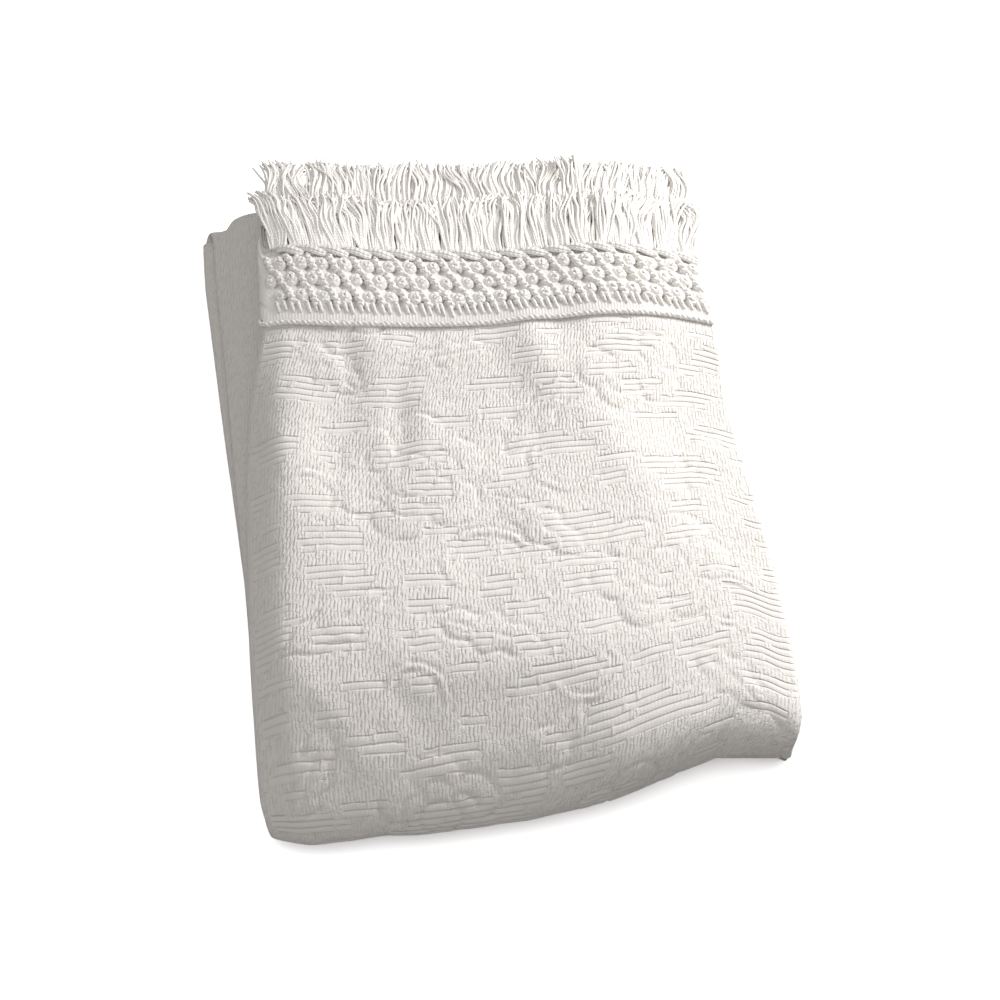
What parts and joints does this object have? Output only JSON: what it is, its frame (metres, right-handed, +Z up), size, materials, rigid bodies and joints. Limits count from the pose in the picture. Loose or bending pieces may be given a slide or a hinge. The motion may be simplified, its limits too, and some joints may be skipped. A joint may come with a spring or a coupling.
{
  "type": "folded bedspread",
  "caption": "Ivory cotton matelasse bedspread folded into a flat bundle, with a raised floral weave, a smooth front fold, a knotted heading and a long cotton fringe along its hem.",
  "frame": {"origin": "middle of the bundle's box, on the surface that it lies on", "axes": "+Y from the smooth front fold to the fringed hem, +Z up from the surface, +X to the right seen from the front fold"},
  "size_m": [0.3804, 0.5508, 0.0785],
  "materials": {
    "cloth": "matt ivory cotton, woven in puffed relief",
    "heading_yarn": "matt ivory cotton cord, twisted and knotted",
    "fringe_yarn": "matt ivory cotton yarn, loosely kinked"
  },
  "bodies": {
    "root": {"spread_cloth": "cloth", "trim_heading": "heading_yarn", "trim_fringe": "fringe_yarn"}
  },
  "joints": []
}
